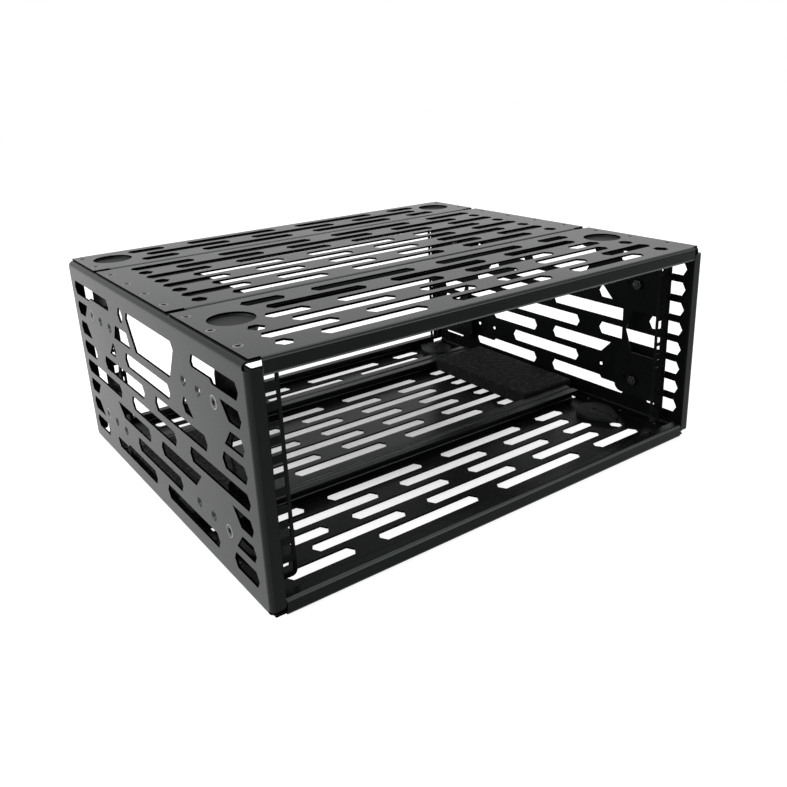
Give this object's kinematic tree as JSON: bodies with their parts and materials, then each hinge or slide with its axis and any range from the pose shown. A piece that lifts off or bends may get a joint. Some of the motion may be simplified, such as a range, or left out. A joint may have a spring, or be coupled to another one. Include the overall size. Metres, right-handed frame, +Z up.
{
  "type": "rack frame",
  "caption": "Open rack frame folded from slotted black sheet, with punched rails front and rear, hand openings in its sides and foam pads at floor and top.",
  "frame": {"origin": "middle of the footprint, on the surface that the frame stands on", "axes": "+X to the right along the open front, +Y from the front to the rear, +Z up"},
  "size_m": [0.524, 0.448, 0.216],
  "materials": {
    "coated_sheet": "satin black coating, bright along the cut edges",
    "rail_sheet": "satin black coating",
    "cup_plastic": "moulded, fine matt",
    "foam": "open-cell foam, matt and mottled",
    "screw_steel": "blackened, with a bright rim",
    "spacer_aluminium": "turned",
    "nut_steel": "zinc-plated"
  },
  "bodies": {
    "root": {"left_side_panel": "coated_sheet", "right_side_panel": "coated_sheet", "bottom_front_cover": "coated_sheet", "bottom_middle_cover": "coated_sheet", "bottom_rear_cover": "coated_sheet", "top_front_cover": "coated_sheet", "top_middle_cover": "coated_sheet", "top_rear_cover": "coated_sheet", "front_left_rack_rail": "rail_sheet", "front_right_rack_rail": "rail_sheet", "rear_left_rack_rail": "rail_sheet", "rear_right_rack_rail": "rail_sheet", "bottom_front_left_cup": "cup_plastic", "bottom_front_right_cup": "cup_plastic", "bottom_rear_left_cup": "cup_plastic", "bottom_rear_right_cup": "cup_plastic", "top_front_left_cup": "cup_plastic", "top_front_right_cup": "cup_plastic", "top_rear_left_cup": "cup_plastic", "top_rear_right_cup": "cup_plastic", "left_foam_pad": "foam", "top_left_foam_pad": "foam", "right_foam_pad": "foam", "top_right_foam_pad": "foam", "bottom_front_cover_screws": "screw_steel", "bottom_middle_cover_screws": "screw_steel", "bottom_rear_cover_screws": "screw_steel", "top_front_cover_screws": "screw_steel", "top_middle_cover_screws": "screw_steel", "top_rear_cover_screws": "screw_steel", "front_left_rail_screws": "screw_steel", "front_left_rail_spacers": "spacer_aluminium", "front_left_rail_nuts": "nut_steel", "front_right_rail_screws": "screw_steel", "front_right_rail_spacers": "spacer_aluminium", "front_right_rail_nuts": "nut_steel", "rear_left_rail_screws": "screw_steel", "rear_left_rail_spacers": "spacer_aluminium", "rear_left_rail_nuts": "nut_steel", "rear_right_rail_screws": "screw_steel", "rear_right_rail_spacers": "spacer_aluminium", "rear_right_rail_nuts": "nut_steel"}
  },
  "joints": []
}
